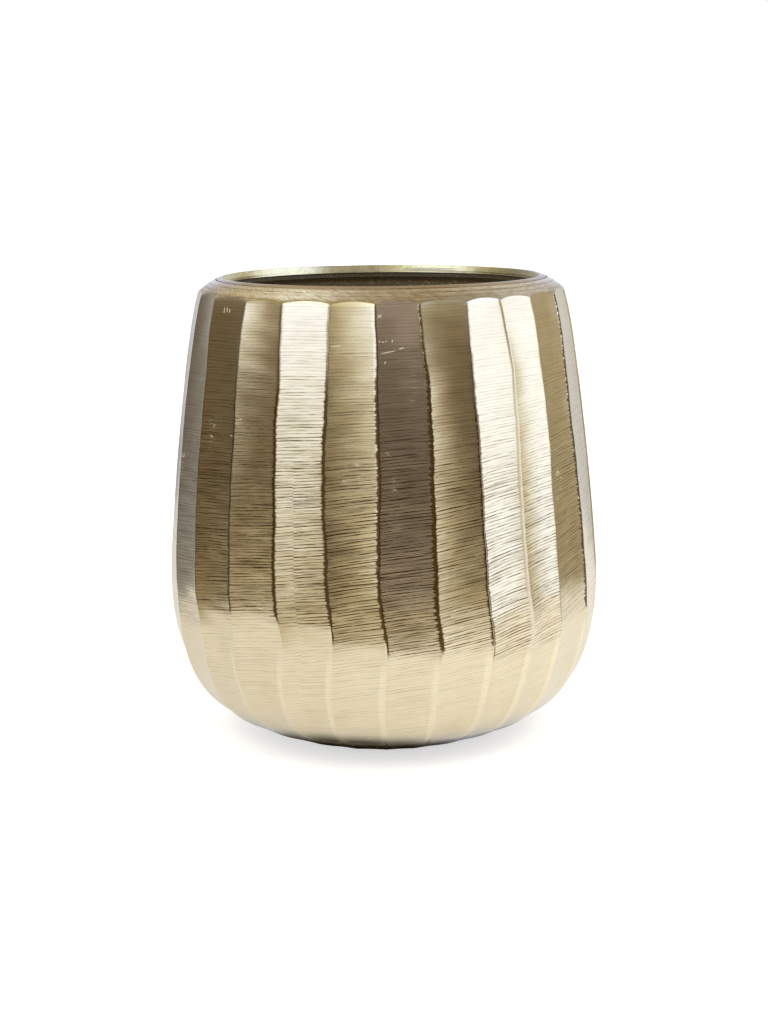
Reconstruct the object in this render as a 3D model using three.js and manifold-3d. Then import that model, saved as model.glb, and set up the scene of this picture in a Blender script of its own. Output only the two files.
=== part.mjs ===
// Cast aluminium vase with hand-cut flutes, in millimetres.
// It stands on z = 0 with its axis on Z. The front faces -Y, and angles round the axis
// run from the front towards +X.
import * as THREE from "three";
import { mergeVertices } from "three/addons/utils/BufferGeometryUtils.js";
import Module from "manifold-3d";

const wasm = await Module();
wasm.setup();

// Mouth: the ring's inner face, its narrow flat crest, and the turned chamfer outside it
const vaseHeight = 317.5;
const mouthRadius = 108.8;
const lipWidth = 1.2;
const lipBevel = 0.2;
const chamferWidth = 16.3;
const chamferDrop = 10.1;
const chamferBulge = 1.1;
const ringHeight = 5.5;
const ringBand = 3.1; // how far the ring reaches down the chamfer
const ringOverhang = 0.6; // how far the ring's underside stands in from the wall
const seatLedge = 3; // thickness of the wall's ledge under the ring

// Belly and foot, measured to the tips of the ridges
const bellyRadius = 150;
const bellyHeight = 114;
const footRadius = 76;
const wallThickness = 7; // from a ridge tip to the inside

// Fullness of the outline: how far each end of its two curves pulls, as a share of the curve's span
const footPullOut = 0.55;
const footPullUp = 0.13;
const bowlFullness = 0.77;
const bellyFullness = 0.1;
const shoulderPullIn = 0.42;
const shoulderPullDown = 0.16;

// Flutes: how deep the cutter goes below the ridge tips, from the mouth to the foot
const fluteCount = 26;
const fluteDepthMouth = 1.5;
const fluteDepthBelly = 1.85;
const fluteDepthFoot = 1.1;
const fluteRunIn = 50; // height over which the flutes deepen above the foot

// Flutes: how the ridges run, in degrees. They were cut by hand, in two strokes.
const frontRidge = -1;
const upperLean = 1; // towards the mouth the ridges lean to the left
const strokeShift = 1.3; // the lower stroke was cut a little further round
const strokeKink = 1; // and the ridges jump where the two strokes meet
const strokeJoin = 88; // height of that meeting
const strokeBlend = 60; // height over which one stroke passes into the other
const kinkSpread = 18;
const ridgeShift = [ // each ridge's shift from even spacing, from the front one to the right
  0, 0, -0.6, -2.6, -4.6, -3.6, -3, -3.9, -2.7, -2.2, -3.4, -4, -2.9,
  -3.6, -2.4, -3.1, -4.1, -3.3, -2.6, -3.5, -3.8, -3, -2.1, -0.9, -0.2, -0.1,
];

// Foot: felt pads in recesses, and the floor plate on its ledge
const padCount = 4;
const padRadius = 7.5;
const padProud = 1.5;
const padRecess = 1.8;
const padInset = 2.2; // from the pads to the edge of the foot
const floorWeb = 6.5; // from the pads to the floor plate
const floorLedge = 2.7;
const ledgeWidth = 7;
const plateThickness = 4;
const sealWidth = 5;
const sealHeight = 1.6;

// Clearances between pieces, and how finely the round forms are cut
const seatGap = 0.3;
const glueGap = 0.3; // round and above each pad
const fluteSteps = 4;
const bowlRows = 12;
const upperRows = 7;
const insideFacets = 52;
const padFacets = 24;
const toolReach = 20; // how far a cutting tool runs past what it cuts

// Sizes that follow from the ones above
const lipRadius = mouthRadius + lipWidth;
const shoulderRadius = lipRadius + chamferWidth;
const shoulderHeight = vaseHeight - chamferDrop;
const ringRadius = lipRadius + ringBand;
const ringSeatHeight = vaseHeight - ringHeight - seatGap;
const padThickness = padProud + padRecess - glueGap;
const padCircle = footRadius - padInset - padRadius;
const plateRadius = padCircle - padRadius - floorWeb;
const plateHeight = padProud + floorLedge + seatGap;
const insideFloor = plateHeight + plateThickness;
const mouthFacets = fluteCount * fluteSteps;

// Materials
const satinGold = new THREE.MeshStandardMaterial({ color: 0xc9b27c, roughness: 0.35, metalness: 1 });
const turnedGold = new THREE.MeshStandardMaterial({ color: 0xbda577, roughness: 0.3, metalness: 1 });
const castGrey = new THREE.MeshStandardMaterial({ color: 0x8f8a7c, roughness: 0.6, metalness: 1 });
const sealant = new THREE.MeshStandardMaterial({ color: 0x9a978e, roughness: 0.5, metalness: 0 });
const felt = new THREE.MeshStandardMaterial({ color: 0x3a3631, roughness: 1, metalness: 0 });

// A solid turned round the Z axis from a profile of [radius, height] points
function turned(profile, facets) {
  const points = profile.map(([radius, height]) => new THREE.Vector2(radius, height));
  return new THREE.LatheGeometry(points, facets).rotateX(Math.PI / 2);
}

// The same shape as a manifold solid: shared corners merged, and no triangle without area
function solid(geometry) {
  const bare = geometry.clone();
  bare.deleteAttribute("normal");
  bare.deleteAttribute("uv");
  const merged = mergeVertices(bare);
  const corners = [];
  for (let i = 0; i < merged.index.count; i += 3) {
    const [a, b, c] = [0, 1, 2].map((k) => merged.index.getX(i + k));
    if (a !== b && b !== c && c !== a) {
      corners.push(a, b, c);
    }
  }
  return new wasm.Manifold(new wasm.Mesh({
    numProp: 3,
    vertProperties: new Float32Array(merged.attributes.position.array),
    triVerts: new Uint32Array(corners),
  }));
}

function piece(name, body, material) {
  const { numProp, vertProperties, triVerts } = body.getMesh();
  const geometry = new THREE.BufferGeometry();
  geometry.setAttribute("position", new THREE.BufferAttribute(vertProperties, numProp));
  geometry.setIndex(new THREE.BufferAttribute(triVerts, 1));
  geometry.computeVertexNormals();
  const mesh = new THREE.Mesh(geometry, material);
  mesh.name = name;
  return mesh;
}

// Outline of the ridge tips as two curves in the plane of radius and height
function bowlCurve() {
  const reach = bellyRadius - footRadius;
  const rise = bellyHeight - padProud;
  return new THREE.CubicBezierCurve(
    new THREE.Vector2(footRadius, padProud),
    new THREE.Vector2(footRadius + footPullOut * reach, padProud + footPullUp * rise),
    new THREE.Vector2(bellyRadius, bellyHeight - bowlFullness * rise),
    new THREE.Vector2(bellyRadius, bellyHeight),
  );
}

function upperCurve() {
  const reach = bellyRadius - shoulderRadius;
  const rise = shoulderHeight - bellyHeight;
  return new THREE.CubicBezierCurve(
    new THREE.Vector2(bellyRadius, bellyHeight),
    new THREE.Vector2(bellyRadius, bellyHeight + bellyFullness * rise),
    new THREE.Vector2(shoulderRadius + shoulderPullIn * reach, shoulderHeight - shoulderPullDown * rise),
    new THREE.Vector2(shoulderRadius, shoulderHeight),
  );
}

// Points of the outline from the foot to the shoulder, each with the direction into the wall
function outline() {
  const stations = [];
  const walk = (curve, rows, first) => {
    for (let row = first; row <= rows; row += 1) {
      const point = curve.getPoint(row / rows);
      const tangent = curve.getTangent(row / rows);
      stations.push({ point, inward: new THREE.Vector2(-tangent.y, tangent.x) });
    }
  };
  walk(bowlCurve(), bowlRows, 0);
  walk(upperCurve(), upperRows, 1);
  return stations;
}

// The chamfer's height at a share of its width, 0 at the lip and 1 at the shoulder
function chamferHeight(share) {
  return vaseHeight - chamferDrop * share + chamferBulge * 4 * share * (1 - share);
}

function smoothStep(share) {
  return THREE.MathUtils.smoothstep(share, 0, 1);
}

// How far the ridges are turned at a height, in degrees
function ridgeTurn(height) {
  const middle = (bellyHeight + shoulderHeight) / 2;
  const lean = -upperLean * Math.max(0, (height - middle) / (shoulderHeight - middle));
  const lower = strokeShift * smoothStep((strokeJoin + strokeBlend - height) / strokeBlend);
  const kink = strokeKink * Math.exp(-(((height - strokeJoin) / kinkSpread) ** 2));
  return lean + lower + kink;
}

function ridgeAngle(index, height) {
  const shift = ridgeShift[(index % fluteCount) % ridgeShift.length];
  const even = frontRidge + (index * 360) / fluteCount;
  return THREE.MathUtils.degToRad(even + shift + ridgeTurn(height));
}

// The cutter reaches its full depth part way up the bowl and eases off again towards the mouth
function fluteDepth(height) {
  const rise = smoothStep((height - padProud) / fluteRunIn);
  const ease = smoothStep((height - bellyHeight) / (shoulderHeight - bellyHeight));
  const deepening = THREE.MathUtils.lerp(fluteDepthFoot, fluteDepthBelly, rise);
  return THREE.MathUtils.lerp(deepening, fluteDepthMouth, ease);
}

// One ring of the fluted surface: between two ridge tips the cutter leaves a shallow hollow
function fluteRing(radius, height) {
  const ring = [];
  const tip = (angle) => new THREE.Vector2(radius * Math.sin(angle), -radius * Math.cos(angle));
  for (let flute = 0; flute < fluteCount; flute += 1) {
    const from = ridgeAngle(flute, height);
    const to = ridgeAngle(flute + 1, height);
    const middle = (from + to) / 2;
    const hollow = fluteDepth(height) - radius * (1 - Math.cos((to - from) / 2));
    for (let step = 0; step < fluteSteps; step += 1) {
      const share = step / fluteSteps;
      const depth = hollow * 4 * share * (1 - share);
      const point = tip(from).lerp(tip(to), share);
      point.x -= depth * Math.sin(middle);
      point.y += depth * Math.cos(middle);
      ring.push([point.x, point.y, height]);
    }
  }
  return ring;
}

// The casting before it is turned and bored: stacked flute rings, closed at both ends
function flutedBlank() {
  const stations = outline().map(({ point }) => [point.x, point.y]);
  const top = stations.at(-1);
  const below = stations.at(-2);
  const slope = (top[0] - below[0]) / (top[1] - below[1]);
  const blankTop = vaseHeight + seatGap;
  stations.push([top[0] + slope * (blankTop - top[1]), blankTop]);
  const rings = stations.map(([radius, height]) => fluteRing(radius, height));
  const count = rings[0].length;
  const vertices = rings.flat();
  const bottomCentre = vertices.length;
  const topCentre = bottomCentre + 1;
  vertices.push([0, 0, padProud], [0, 0, blankTop]);
  const faces = [];
  for (let i = 0; i < count; i += 1) {
    const next = (i + 1) % count;
    for (let row = 0; row < rings.length - 1; row += 1) {
      const low = row * count;
      const high = low + count;
      faces.push(low + i, low + next, high + next, low + i, high + next, high + i);
    }
    const last = (rings.length - 1) * count;
    faces.push(bottomCentre, next, i, topCentre, last + i, last + next);
  }
  const geometry = new THREE.BufferGeometry();
  geometry.setAttribute("position", new THREE.Float32BufferAttribute(vertices.flat(), 3));
  geometry.setIndex(faces);
  return geometry;
}

// What the lathe takes off: everything above the rim and outside the chamfer, where it runs
// through the flutes and leaves their arches
function chamferCut() {
  const steps = 4;
  const profile = [[0, vaseHeight]];
  for (let step = 0; step <= steps; step += 1) {
    profile.push([lipRadius + (chamferWidth * step) / steps, chamferHeight(step / steps)]);
  }
  const [lastRadius, lastHeight] = profile.at(-1);
  const [beforeRadius, beforeHeight] = profile.at(-2);
  const fall = (lastHeight - beforeHeight) / (lastRadius - beforeRadius);
  profile.push([lastRadius + toolReach, lastHeight + fall * toolReach]);
  profile.push([lastRadius + toolReach, vaseHeight + toolReach], [0, vaseHeight + toolReach]);
  return turned(profile, mouthFacets);
}

// The inside: the hole in the floor, the plate's seat, the wall's inner face and the ring's ledge
function insideCut() {
  const inner = outline().map(({ point, inward }) => [
    point.x + inward.x * wallThickness,
    point.y + inward.y * wallThickness,
  ]);
  const first = Math.max(1, inner.findIndex(([, height]) => height > insideFloor));
  const [r0, h0] = inner[first - 1];
  const [r1, h1] = inner[first];
  const floorEdge = r0 + ((insideFloor - h0) / (h1 - h0)) * (r1 - r0);
  const opening = plateRadius - ledgeWidth;
  const ledgeRadius = mouthRadius + ringOverhang;
  return turned([
    [0, -toolReach],
    [opening, -toolReach],
    [opening, plateHeight - seatGap],
    [plateRadius + seatGap, plateHeight - seatGap],
    [plateRadius + seatGap, insideFloor],
    [floorEdge, insideFloor],
    ...inner.slice(first),
    [ledgeRadius, ringSeatHeight - seatLedge],
    [ledgeRadius, vaseHeight + toolReach],
    [0, vaseHeight + toolReach],
  ], insideFacets);
}

function ringSeatCut() {
  return turned([
    [0, ringSeatHeight],
    [ringRadius + seatGap, ringSeatHeight],
    [ringRadius + seatGap, vaseHeight + toolReach],
    [0, vaseHeight + toolReach],
  ], mouthFacets);
}

function mouthRing() {
  const underside = vaseHeight - ringHeight;
  return turned([
    [mouthRadius, underside],
    [ringRadius, underside],
    [ringRadius, chamferHeight(ringBand / chamferWidth)],
    [lipRadius, vaseHeight],
    [mouthRadius + lipBevel, vaseHeight],
    [mouthRadius, vaseHeight - lipBevel],
    [mouthRadius, underside],
  ], mouthFacets);
}

function floorPlate() {
  return turned([
    [0, plateHeight],
    [plateRadius, plateHeight],
    [plateRadius, insideFloor],
    [0, insideFloor],
  ], insideFacets);
}

// A low half-round bead over the joint between the plate and the wall's floor
function floorSeal() {
  const steps = 6;
  const middle = plateRadius + seatGap / 2;
  const profile = [];
  for (let step = 0; step <= steps; step += 1) {
    const angle = (Math.PI * step) / steps;
    profile.push([
      middle + (sealWidth / 2) * Math.cos(angle),
      insideFloor + seatGap + sealHeight * Math.sin(angle),
    ]);
  }
  profile.push(profile[0]);
  return turned(profile, insideFacets);
}

// A disc on the pads' circle, from one height to another
function padDisc(index, radius, from, to) {
  const angle = ((index + 0.5) * 2 * Math.PI) / padCount;
  const disc = turned([[0, from], [radius, from], [radius, to], [0, to]], padFacets);
  return disc.translate(padCircle * Math.sin(angle), -padCircle * Math.cos(angle), 0);
}

let wall = solid(flutedBlank());
for (const tool of [chamferCut(), insideCut(), ringSeatCut()]) {
  wall = wall.subtract(solid(tool));
}
for (let index = 0; index < padCount; index += 1) {
  wall = wall.subtract(solid(padDisc(index, padRadius + glueGap, 0, padProud + padRecess)));
}

const vase = new THREE.Group();
vase.add(piece("fluted_wall", wall, satinGold));
vase.add(piece("mouth_ring", solid(mouthRing()), turnedGold));
vase.add(piece("floor_plate", solid(floorPlate()), castGrey));
vase.add(piece("floor_seal", solid(floorSeal()), sealant));
for (let index = 0; index < padCount; index += 1) {
  vase.add(piece(`foot_pad_${index + 1}`, solid(padDisc(index, padRadius, 0, padThickness)), felt));
}

export default vase;
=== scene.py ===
import math
from functools import partial

import bpy
import numpy as np
from mathutils import Matrix


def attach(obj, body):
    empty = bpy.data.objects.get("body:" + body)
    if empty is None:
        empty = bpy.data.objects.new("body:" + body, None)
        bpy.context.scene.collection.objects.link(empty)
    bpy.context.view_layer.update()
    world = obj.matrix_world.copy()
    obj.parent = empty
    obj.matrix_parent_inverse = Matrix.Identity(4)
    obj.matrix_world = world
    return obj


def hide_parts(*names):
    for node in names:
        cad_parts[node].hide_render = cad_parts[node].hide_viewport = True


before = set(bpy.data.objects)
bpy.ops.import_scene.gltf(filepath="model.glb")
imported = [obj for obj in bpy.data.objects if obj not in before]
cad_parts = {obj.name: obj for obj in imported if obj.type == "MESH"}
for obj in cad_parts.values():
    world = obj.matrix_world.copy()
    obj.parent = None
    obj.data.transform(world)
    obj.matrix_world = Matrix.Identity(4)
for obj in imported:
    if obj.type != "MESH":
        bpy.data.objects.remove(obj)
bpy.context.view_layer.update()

mm = 0.001               # sizes below are in millimetres and angles in degrees
chance = np.random.default_rng(26)  # seeded, so that every run makes the same vase


# sRGB hex to linear: c/12.92 up to 0.04045, and ((c + 0.055)/1.055)^2.4 above it
def linearColour(code):
    share = np.array([int(code[i:i + 2], 16) for i in (1, 3, 5)]) / 255
    linear = np.where(share <= 0.04045, share / 12.92, ((share + 0.055) / 1.055) ** 2.4)
    return (*linear.tolist(), 1.0)


# The property that the second word of a node's kind sets
nodeModes = {
    "Math": "operation", "VectorMath": "operation", "MapRange": "interpolation_type", "Mix": "data_type",
    "TexNoise": "noise_dimensions", "TexWhiteNoise": "noise_dimensions", "VectorRotate": "rotation_type",
}


# Adds a node. Its kind may have a second word, such as the operation of a Math node. Its inputs
# follow in order, and then a dictionary of inputs by name. An input is a value, a hex colour, a
# socket, or a node, which stands for its first live output
def addNode(tree, kind, *inputs, **properties):
    kind, *mode = kind.split()
    node = tree.nodes.new("ShaderNode" + kind)
    if mode:
        properties[nodeModes[kind]] = mode[0]
    for name, value in properties.items():
        setattr(node, name, value)
    live = [socket for socket in node.inputs if socket.enabled]
    named = inputs[-1] if inputs and isinstance(inputs[-1], dict) else {}
    pairs = list(zip(live, [value for value in inputs if value is not named]))
    for name, value in named.items():
        pairs.append((next(socket for socket in live if socket.name == name), value))
    for socket, value in pairs:
        if isinstance(value, bpy.types.Node):
            value = next(output for output in value.outputs if output.enabled)
        if isinstance(value, bpy.types.NodeSocket):
            tree.links.new(value, socket)
        else:
            socket.default_value = linearColour(value) if isinstance(value, str) else value
    return node


# A new material, and addNode for its own tree
def newMaterial(name):
    material = bpy.data.materials.new(name)
    material.use_nodes = True
    material.node_tree.nodes.clear()
    return material, partial(addNode, material.node_tree)


def addObject(name, data):
    thing = bpy.data.objects.new(name, data)
    bpy.context.scene.collection.objects.link(thing)
    return thing


# 3x^2 - 2x^3 between 0 and 1, and flat outside
def smoothStep(share):
    x = np.clip(share, 0, 1)
    return x * x * (3 - 2 * x)


# Points of a cubic curve: (1-t)^3 A + 3(1-t)^2 t B + 3(1-t) t^2 C + t^3 D
def cubicCurve(controls, share):
    a, b, c, d = np.asarray(controls, float)
    t = share[:, None]
    return (1 - t) ** 3 * a + 3 * (1 - t) ** 2 * t * b + 3 * (1 - t) * t ** 2 * c + t ** 3 * d


# A profile of (radius, height, rounding) corners. Each rounded corner becomes the parabola
# (1-t)^2 A + 2(1-t)t C + t^2 B between the points A and B that far before and after it
def roundedProfile(corners, steps=4):
    points = np.array([corner[:2] for corner in corners], float)
    t = np.linspace(0, 1, steps + 1)[:, None]
    parts = []
    for i, (_, _, rounding) in enumerate(corners):
        if rounding == 0:
            parts.append(points[i:i + 1])
            continue
        before = points[i - 1] - points[i]
        after = points[(i + 1) % len(points)] - points[i]
        start = points[i] + before / np.linalg.norm(before) * rounding
        end = points[i] + after / np.linalg.norm(after) * rounding
        parts.append((1 - t) ** 2 * start + 2 * (1 - t) * t * points[i] + t ** 2 * end)
    return np.concatenate(parts)


def evenAngles(count):
    return np.arange(count) * 2 * math.pi / count


# Turns a profile round the Z axis: x = r sin a, y = -r cos a, with a = 0 at the front
def turnedRings(profile, angle):
    radius, height = profile[:, :1], profile[:, 1:2]
    return np.stack([radius * np.sin(angle), -radius * np.cos(angle), height + 0 * angle], axis=2)


# Joins rows of points, each once round, into a closed mesh. The last row meets the first where
# loop is set, and otherwise a pole closes each end with triangles. A map gives a UV grid for the
# left and the right side of every column, one row longer where the rows loop
def closedMesh(name, rings, loop=False, poles=None, maps=(), slots=None, sharp=40):
    rows, columns = rings.shape[:2]
    number = np.arange(rows * columns).reshape(rows, columns)
    low = number if loop else number[:-1]
    high = np.roll(number, -1, axis=0) if loop else number[1:]
    quads = np.stack([low, np.roll(low, -1, axis=1), np.roll(high, -1, axis=1), high], axis=2)
    points = rings.reshape(-1, 3)
    faces = quads.reshape(-1, 4).tolist()
    if poles is not None:
        points = np.concatenate([points, np.asarray(poles, float)])
        first, last = number[0], number[-1]
        pole = np.full(columns, rows * columns)
        faces += np.stack([pole, np.roll(first, -1), first], axis=1).tolist()
        faces += np.stack([pole + 1, last, np.roll(last, -1)], axis=1).tolist()
    mesh = bpy.data.meshes.new(name)
    mesh.from_pydata((points * mm).tolist(), [], faces)
    for mapName, (left, right) in dict(maps).items():
        corners = np.stack([left[:-1], right[:-1], right[1:], left[1:]], axis=2)
        layer = mesh.uv_layers.new(name=mapName)
        layer.uv.foreach_set("vector", corners.reshape(-1).astype(np.float32))
    if slots is not None:
        mesh.polygons.foreach_set("material_index", np.repeat(slots, columns).astype(np.int32))
    mesh.shade_smooth()
    mesh.set_sharp_from_angle(angle=math.radians(sharp))
    mesh.update()
    return addObject(name, mesh)


# A piece rides on the vase's one body, stands for a solid and takes its finish from a slot
def dress(piece, materials, node):
    for material in materials:
        piece.data.materials.append(material)
    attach(piece, "root")
    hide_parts(node)


# The cast wall with its hand-cut flutes
wallValues = {
    "height": 317.5, "lipRadius": 110, "chamferWidth": 16.3, "chamferDrop": 10.1,
    "chamferBulge": 1.1, "thickness": 7,
    "bellyRadius": 150, "bellyHeight": 114, "footRadius": 76, "footHeight": 1.5,
    "footPull": (0.55, 0.13), "bowlFullness": 0.77, "bellyFullness": 0.1,
    "shoulderPull": (0.42, 0.16),
    "flutes": 26, "depthMouth": 1.5, "depthBelly": 1.85, "depthFoot": 1.1, "runIn": 50,
    "step": 0.3,             # each flute ends in a small step up to the next ridge
    "crease": 0.05,          # change of slope where the upper and lower strokes meet
    "creaseReach": 20,
    "waviness": 0.05,        # how far the hand wandered in depth
    "ridgeRound": 0.13,      # the ridge tips are a little worn
    "upperLean": 1, "strokeShift": 1.3, "strokeKink": 1, "strokeJoin": 88, "strokeBlend": 60,
    "kinkSpread": 18,
    "seatRadius": 113.4, "seatHeight": 311.7, "ledgeRadius": 109.4, "ledgeUnder": 308.7,
    "plateSeat": 52.6, "floorHole": 45.3, "plateLedge": 4.2, "floorTop": 8.5,
    "padCircle": 66.3, "padRecess": 1.8, "recessRadius": 7.5,
    "markPitch": 2, "markSlant": 8,
    "seamFlute": 24, "seamColumn": 7,   # where the strokes of one flute don't line up
    "fullRidges": [0, 4],               # ridges whose dark line goes on up to the chamfer
    "fluteWidth": 36, "mapLength": 400, "mapStrokes": 160,   # what the maps' units stand for
}
ridgeShift = [               # each ridge's shift from even spacing, from the front one to the right
    0, 0, -0.6, -2.6, -4.6, -3.6, -3, -3.9, -2.7, -2.2, -3.4, -4, -2.9,
    -3.6, -2.4, -3.1, -4.1, -3.3, -2.6, -3.5, -3.8, -3, -2.1, -0.9, -0.2, -0.1,
]
bendHeights = [0, 55, 80, 110, 150, 190, 230, 260, 305]
ridgeBends = {               # how the ridges in front wander off their lines at those heights
    21: [0.6, 1.4, 1.4, 2, 0.5, 0, -0.4, 1.1, 1.8],
    22: [0.6, 1.6, 2, 1, 0.5, -0.2, 0, 0.5, -0.2],
    23: [0.3, 0.3, -0.4, 0.3, 0.7, 0.1, 0.3, 0.4, 1],
    24: [-0.6, 0.1, 0.3, 0.6, 0.7, 0.1, 0, 0.6, 0.4],
    25: [-0.5, -0.7, -0.3, 0.9, 0.6, -0.1, 0, 0.8, 1.2],
    0: [0.2, -0.2, -0.5, -0.5, -0.1, 0, 0.1, 0.3, 0.1],
    1: [0.7, -0.7, -0.8, -0.5, 0, 0, 0, 0.1, -0.9],
    2: [0.8, 0.2, 0.1, -0.2, 0.1, -0.1, -0.4, -0.4, -0.1],
    3: [0.4, 0.4, 0.4, 0.5, 0.4, -0.1, 0.8, 1.3, -0.1],
    4: [0.1, 0.1, 0.1, -0.3, 0.5, 0.2, 0.8, 0.8, 0.5],
    5: [1, 2, 1.2, 0.3, 0.9, 0, -0.4, 0.4, 1.6],
}
# Of the flutes in front: the height where the upper and lower strokes meet
frontJoins = {22: 106, 23: 108, 24: 106, 25: 95, 0: 88, 1: 88, 2: 80, 3: 84}
frontShades = {              # how dark the step's line is before each ridge, patina and painted shade, or if negative, a painted highlight
    19: 0, 20: 0.3, 21: 0.4, 22: 0.9, 23: 1.1, 24: 1.1, 25: 1.1,
    0: 1.3, 1: 1, 2: -0.9, 3: 0.15, 4: 1.3, 5: 0, 6: 0,
}
frontBites = {               # how hard the file cut
    19: 0.4, 20: 0.38, 21: 0.45, 22: 0.9, 23: 1, 24: 1, 25: 1,
    0: 1.1, 1: 0.85, 2: 0.85, 3: 0.75, 4: 0.6, 5: 0.38, 6: 0.4,
}
topBites = {0: 0.8, 1: 0.9, 2: 0.55, 3: 0.6}   # the share of that just under the chamfer
shareSteps = np.array([0, 0.012, 0.035, 0.075, 0.13, 0.2, 0.28, 0.37, 0.46,
                       0.55, 0.64, 0.73, 0.81, 0.87, 0.915, 0.94, 0.965, 0.988])
outerRows = 138


# Length, radius and height along the ridge tips' outline: two cubic curves and a straight run-out
# above the shoulder. The inner side stands one thickness in, along the outline's normal
def wallOutline(v):
    foot, belly = (v["footRadius"], v["footHeight"]), (v["bellyRadius"], v["bellyHeight"])
    shoulder = v["lipRadius"] + v["chamferWidth"], v["height"] - v["chamferDrop"]
    reach, rise = belly[0] - foot[0], belly[1] - foot[1]
    span, climb = belly[0] - shoulder[0], shoulder[1] - belly[1]
    t = np.linspace(0, 1, 400)
    bowl = cubicCurve([
        foot, (foot[0] + v["footPull"][0] * reach, foot[1] + v["footPull"][1] * rise),
        (belly[0], belly[1] - v["bowlFullness"] * rise), belly,
    ], t)
    upper = cubicCurve([
        belly, (belly[0], belly[1] + v["bellyFullness"] * climb),
        (shoulder[0] + v["shoulderPull"][0] * span, shoulder[1] - v["shoulderPull"][1] * climb), shoulder,
    ], t)
    line = np.concatenate([bowl, upper[1:]])
    tangent = np.gradient(line, axis=0)
    tangent /= np.linalg.norm(tangent, axis=1, keepdims=True)
    inner = line + np.stack([-tangent[:, 1], tangent[:, 0]], axis=1) * v["thickness"]
    shoulderRow = len(line) - 1
    line = np.concatenate([line, line[-1:] + tangent[-1:] * 12])
    length = np.concatenate([[0], np.cumsum(np.linalg.norm(np.diff(line, axis=0), axis=1))])
    return length, line[:, 0], line[:, 1], inner, length[shoulderRow]


# The chamfer's height at a radius: a straight fall from lip to shoulder with a slight crown
def chamferHeight(v, radius):
    share = (radius - v["lipRadius"]) / v["chamferWidth"]
    return v["height"] - v["chamferDrop"] * share + v["chamferBulge"] * 4 * share * (1 - share)


# Every ridge's angle at every millimetre of height: even spacing, its own shift, the turn that
# all ridges share, its own bends, and a small wander made of four sine waves
def ridgeAngles(v):
    count = v["flutes"]
    shoulder = v["height"] - v["chamferDrop"]
    middle = (v["bellyHeight"] + shoulder) / 2
    heights = np.arange(0, v["height"] + 4.0)
    lean = -v["upperLean"] * np.maximum(0, (heights - middle) / (shoulder - middle))
    lower = v["strokeShift"] * smoothStep((v["strokeJoin"] - heights) / v["strokeBlend"] + 1)
    kink = v["strokeKink"] * np.exp(-((heights - v["strokeJoin"]) / v["kinkSpread"]) ** 2)
    wave, swing = np.array([95, 41, 17, 9]), np.array([0.12, 0.09, 0.05, 0.03])
    window = np.hanning(25) / np.hanning(25).sum()
    angles = np.zeros((count + 1, len(heights)))
    for ridge in range(count):
        bends = ridgeBends.get(ridge, chance.normal(0, 0.6, len(bendHeights)))
        bend = np.pad(np.interp(heights, bendHeights, bends), 12, "edge")
        bend = np.convolve(bend, window, "valid")
        wander = np.sin(2 * math.pi * heights[:, None] / wave + chance.uniform(0, 6.28, 4)) @ swing
        angles[ridge] = -1 + ridge * 360 / count + ridgeShift[ridge] + bend + wander
    angles[:count] += lean + lower + kink
    angles[count] = angles[0] + 360
    return np.radians(angles)


# Points of the fluted face. Between two ridge tips a point lies on their chord, less the hollow
# h 4t(1-t), less a step that grows with t and closes at the next ridge, less the crease where the
# two strokes meet, less the wandering of the hand as three sine waves
def flutedFace(v, angles, hand, radius, height):
    flute = np.arange(height.shape[1]) // len(shareSteps)
    share = np.tile(shareSteps, v["flutes"])
    low = np.clip(np.floor(height).astype(int), 0, angles.shape[1] - 2)
    part = height - low
    start = angles[flute, low] * (1 - part) + angles[flute, low + 1] * part
    end = angles[flute + 1, low] * (1 - part) + angles[flute + 1, low + 1] * part
    middle = (start + end) / 2
    rise = smoothStep((height - v["footHeight"]) / v["runIn"])
    ease = smoothStep((height - v["bellyHeight"]) / (v["height"] - v["chamferDrop"] - v["bellyHeight"]))
    depth = v["depthFoot"] + (v["depthBelly"] - v["depthFoot"]) * rise
    depth += (v["depthMouth"] - depth) * ease
    hollow = depth - radius * (1 - np.cos((end - start) / 2))
    step = v["step"] * hand["step"][flute] * rise * share * (1 - smoothStep((share - 0.95) / 0.05))
    below = np.maximum(0, hand["join"][flute] - height)
    crease = v["crease"] * below * np.exp(-below / v["creaseReach"])
    wander = sum(np.sin(2 * math.pi * (height / size + turn * share) + hand["phase"][flute, k])
                 for k, (size, turn) in enumerate([(67, 0.3), (31, -0.5), (14, 0.4)]))
    depth = 4 * share * (1 - share) * (hollow + crease + v["waviness"] * wander) + step
    tip = radius - v["ridgeRound"]
    x = tip * ((1 - share) * np.sin(start) + share * np.sin(end)) - depth * np.sin(middle)
    y = -tip * ((1 - share) * np.cos(start) + share * np.cos(end)) + depth * np.cos(middle)
    return np.stack([x, y, height], axis=2)


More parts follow.
